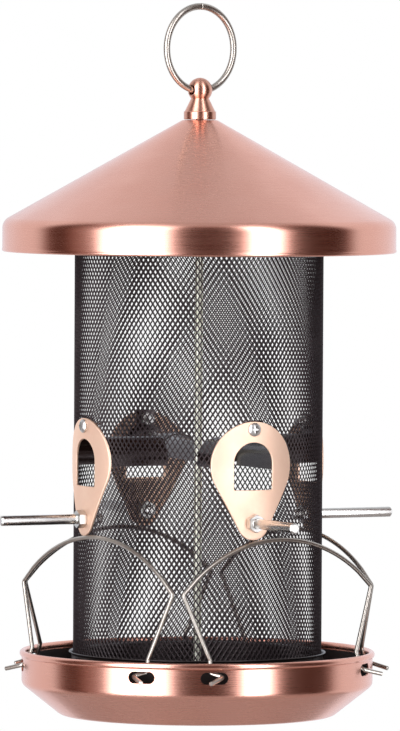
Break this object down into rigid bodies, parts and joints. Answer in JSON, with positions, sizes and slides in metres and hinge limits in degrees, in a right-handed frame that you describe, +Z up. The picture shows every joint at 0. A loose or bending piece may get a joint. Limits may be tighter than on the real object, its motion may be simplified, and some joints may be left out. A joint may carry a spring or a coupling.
{
  "type": "hanging seed feeder",
  "caption": "Hanging mesh seed feeder with a conical copper roof, feeding ports with perches, a round catch tray and fold-out wire guards.",
  "frame": {"origin": "centre of the feeder on the plane that its tray stands on", "axes": "+Z up along the centre rod; one feeding port faces -Y and one faces +X"},
  "size_m": [0.2204, 0.2204, 0.3615],
  "materials": {
    "copper_sheet": "brushed copper-plated sheet, satin",
    "turned_copper": "turned and copper-plated, satin, slightly darkened",
    "black_mesh": "black-brown satin paint on expanded metal",
    "black_lacquer": "black satin paint",
    "zinc_hardware": "bright zinc plate",
    "perch_steel": "bright zinc-plated steel, lightly brushed",
    "yellow_zinc": "yellow-passivated zinc plate",
    "nickel_wire": "antique nickel plate, satin"
  },
  "bodies": {
    "root": {"tray": "copper_sheet", "base_ring": "black_lacquer", "floor_disc": "black_lacquer", "mesh_tube": "black_mesh", "top_ring": "black_lacquer", "tie_rod": "yellow_zinc", "rod_nuts": "zinc_hardware", "rod_washers": "zinc_hardware", "port_plate_1": "copper_sheet", "port_plate_2": "copper_sheet", "port_plate_3": "copper_sheet", "port_plate_4": "copper_sheet", "port_hood_1": "black_lacquer", "port_hood_2": "black_lacquer", "port_hood_3": "black_lacquer", "port_hood_4": "black_lacquer", "port_screws": "zinc_hardware", "port_screw_nuts": "zinc_hardware", "perch_1": "perch_steel", "perch_2": "perch_steel", "perch_3": "perch_steel", "perch_4": "perch_steel", "perch_outer_nuts": "zinc_hardware", "perch_inner_nuts": "zinc_hardware"},
    "roof": {"roof": "copper_sheet"},
    "finial": {"finial": "turned_copper"},
    "ring": {"hanging_ring": "nickel_wire"},
    "guard_1": {"wire_guard_1": "nickel_wire"},
    "guard_2": {"wire_guard_2": "nickel_wire"},
    "guard_3": {"wire_guard_3": "nickel_wire"},
    "guard_4": {"wire_guard_4": "nickel_wire"}
  },
  "joints": [
    {"name": "roof_lift", "type": "slide", "parent": "root", "child": "roof", "axis": [0, 0, 1], "range_m": [0, 0.08]},
    {"name": "finial_turn", "type": "hinge", "parent": "roof", "child": "finial", "pos_m": [0, 0, 0.30252], "axis": [0, 0, 1], "continuous": true},
    {"name": "ring_swing", "type": "hinge", "parent": "finial", "child": "ring", "pos_m": [0, 0, 0.31749], "axis": [0.9781, 0.2079, 0], "range_deg": [-120, 120]},
    {"name": "guard_1_swing", "type": "hinge", "parent": "root", "child": "guard_1", "pos_m": [0.01702, -0.07493, 0.0259], "axis": [0.9751, 0.2215, 0], "range_deg": [0, 14]},
    {"name": "guard_2_swing", "type": "hinge", "parent": "root", "child": "guard_2", "pos_m": [-0.07493, -0.01702, 0.0259], "axis": [0.2215, -0.9751, 0], "range_deg": [0, 14]},
    {"name": "guard_3_swing", "type": "hinge", "parent": "root", "child": "guard_3", "pos_m": [0.07493, 0.01702, 0.0259], "axis": [-0.2215, 0.9751, 0], "range_deg": [0, 14]},
    {"name": "guard_4_swing", "type": "hinge", "parent": "root", "child": "guard_4", "pos_m": [-0.01702, 0.07493, 0.0259], "axis": [-0.9751, -0.2215, 0], "range_deg": [0, 14]}
  ]
}
